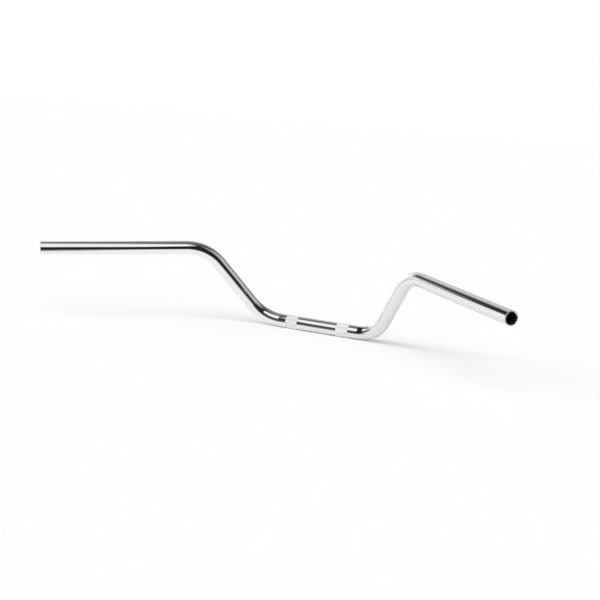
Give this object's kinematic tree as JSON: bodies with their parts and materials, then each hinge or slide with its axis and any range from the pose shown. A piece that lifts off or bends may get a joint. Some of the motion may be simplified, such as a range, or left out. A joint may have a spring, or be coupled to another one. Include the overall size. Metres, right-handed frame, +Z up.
{
  "type": "motorcycle handlebar",
  "caption": "Bent tubular motorcycle handlebar with knurled clamp bands, raised and pulled-back grip ends, and open mouths.",
  "frame": {"origin": "on the underside of the clamp section, at the middle of the bar's width", "axes": "+X to the rider's right, along the clamp section; +Y forwards; +Z up, with the bar as it stands in the picture"},
  "size_m": [0.8152, 0.2481, 0.1378],
  "materials": {
    "chrome_plate": "polished chrome plate on steel tube, with a rolled diamond knurl on the two clamp bands"
  },
  "bodies": {
    "root": {"bar_tube": "chrome_plate"}
  },
  "joints": []
}
